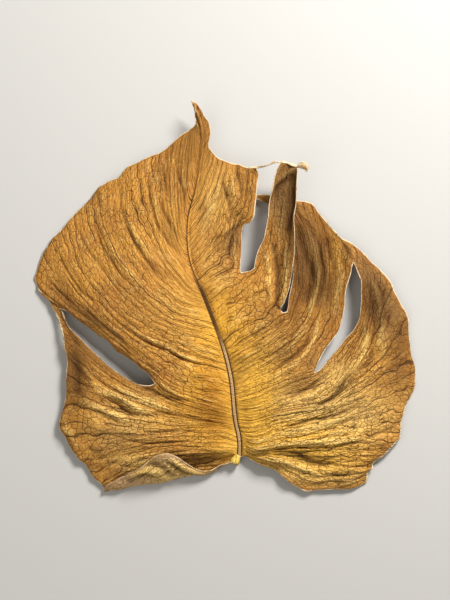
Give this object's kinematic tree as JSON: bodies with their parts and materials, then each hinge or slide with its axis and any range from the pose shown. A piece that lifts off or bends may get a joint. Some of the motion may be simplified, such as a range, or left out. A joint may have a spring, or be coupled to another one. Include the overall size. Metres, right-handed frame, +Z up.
{
  "type": "monstera leaf",
  "caption": "Dried, curled split leaf, golden brown, lying flat: heart-shaped blade with slits, a raised finger lobe, a folded basal lobe and a short leafstalk stub.",
  "frame": {"origin": "under the middle of the leaf, on the surface that it lies on", "axes": "+Y from the leafstalk stub to the leaf's tip, +Z up from the surface, +X to the right of someone looking down on the leaf"},
  "size_m": [0.2276, 0.234, 0.0235],
  "materials": {
    "leaf": "dull, slightly waxy"
  },
  "bodies": {
    "root": {"leaf": "leaf"}
  },
  "joints": []
}
